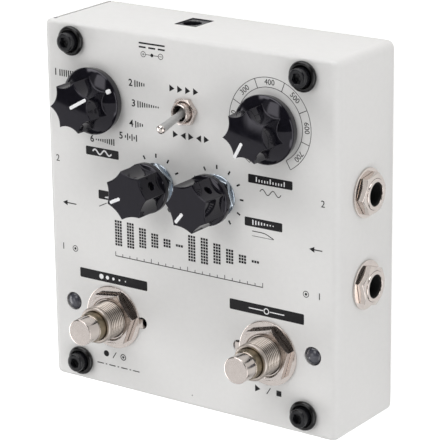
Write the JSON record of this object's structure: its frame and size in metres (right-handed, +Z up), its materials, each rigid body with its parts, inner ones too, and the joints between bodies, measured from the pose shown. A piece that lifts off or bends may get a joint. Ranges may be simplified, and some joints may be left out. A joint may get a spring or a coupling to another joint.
{
  "type": "delay pedal",
  "caption": "Compact two-footswitch guitar delay pedal with skirted selector and time dials, small level knobs, toggle switch, side sockets and power inlet",
  "frame": {"origin": "on the surface the feet stand on, under the middle of the enclosure", "axes": "+Z up out of the control panel, +Y towards the end with the power inlet, +X towards the input sockets"},
  "size_m": [0.1164, 0.119, 0.0512],
  "materials": {
    "cover": "fine-textured white powder coat on steel",
    "base_plate": "zinc-plated steel",
    "feet": "matt black rubber",
    "black_screws": "black-oxide alloy steel",
    "cup_washers": "satin black moulded rubber",
    "knobs": "glossy black moulded plastic",
    "zinc": "zinc-plated steel",
    "nickel": "bright nickel plate",
    "lever": "satin nickel-plated steel",
    "spring_wire": "drawn steel wire",
    "jack_body": "black moulded body with a nickel-plated threaded nose",
    "inlet": "black moulded plastic",
    "led": "smoked clear resin",
    "board": "green glass-fibre circuit board"
  },
  "bodies": {
    "housing": {"enclosure_shell": "cover", "base_plate": "base_plate", "foot_rear_left": "feet", "foot_rear_right": "feet", "foot_front_left": "feet", "foot_front_right": "feet", "corner_screw_rear_left": "black_screws", "corner_screw_rear_right": "black_screws", "corner_screw_front_left": "black_screws", "corner_screw_front_right": "black_screws", "cup_washer_rear_left": "cup_washers", "cup_washer_rear_right": "cup_washers", "cup_washer_front_left": "cup_washers", "cup_washer_front_right": "cup_washers", "selector_switch": "zinc", "beat_pot": "zinc", "mix_pot": "zinc", "feedback_pot": "zinc", "selector_nut": "nickel", "beat_nut": "nickel", "mix_nut": "nickel", "feedback_nut": "nickel", "toggle_switch": "nickel", "toggle_nut": "nickel", "footswitch_body_left": "nickel", "footswitch_body_right": "nickel", "footswitch_nut_left": "nickel", "footswitch_nut_right": "nickel", "tab_washer_left": "nickel", "tab_washer_right": "nickel", "footswitch_spring_left": "spring_wire", "footswitch_spring_right": "spring_wire", "jack_rear_left": "jack_body", "jack_rear_right": "jack_body", "jack_front_left": "jack_body", "jack_front_right": "jack_body", "jack_washer_rear_left": "nickel", "jack_washer_rear_right": "nickel", "jack_washer_front_left": "nickel", "jack_washer_front_right": "nickel", "jack_nut_rear_left": "nickel", "jack_nut_rear_right": "nickel", "jack_nut_front_left": "nickel", "jack_nut_front_right": "nickel", "dc_inlet": "inlet", "status_led_left": "led", "status_led_right": "led", "main_board": "board", "control_board": "board"},
    "selector": {"selector_knob": "knobs", "selector_shaft": "zinc"},
    "beat_dial": {"beat_knob": "knobs", "beat_shaft": "zinc"},
    "mix": {"mix_knob": "knobs", "mix_shaft": "zinc"},
    "feedback": {"feedback_knob": "knobs", "feedback_shaft": "zinc"},
    "toggle": {"toggle_lever": "lever"},
    "button_left": {"footswitch_button_left": "nickel"},
    "button_right": {"footswitch_button_right": "nickel"}
  },
  "joints": [
    {"name": "selector_turn", "type": "hinge", "parent": "housing", "child": "selector", "pos_m": [-0.0341, 0.0361, 0.04], "axis": [0, 0, 1], "range_deg": [-240, 0]},
    {"name": "beat_turn", "type": "hinge", "parent": "housing", "child": "beat_dial", "pos_m": [0.0307, 0.0364, 0.04], "axis": [0, 0, 1], "range_deg": [-300, 0]},
    {"name": "mix_turn", "type": "hinge", "parent": "housing", "child": "mix", "pos_m": [-0.0116, 0.0121, 0.042], "axis": [0, 0, 1], "range_deg": [-266, 34]},
    {"name": "feedback_turn", "type": "hinge", "parent": "housing", "child": "feedback", "pos_m": [0.0113, 0.0121, 0.042], "axis": [0, 0, 1], "range_deg": [-290, 10]},
    {"name": "toggle_tilt", "type": "hinge", "parent": "housing", "child": "toggle", "pos_m": [0.0001, 0.037, 0.0344], "axis": [-1, 0, 0], "range_deg": [0, 26]},
    {"name": "press_left", "type": "slide", "parent": "housing", "child": "button_left", "axis": [0, 0, -1], "range_m": [0, 0.0025], "stiffness_N_per_m": 2000, "springref_m": -0.003, "deforming": ["footswitch_spring_left"]},
    {"name": "press_right", "type": "slide", "parent": "housing", "child": "button_right", "axis": [0, 0, -1], "range_m": [0, 0.0025], "stiffness_N_per_m": 2000, "springref_m": -0.003, "deforming": ["footswitch_spring_right"]}
  ]
}
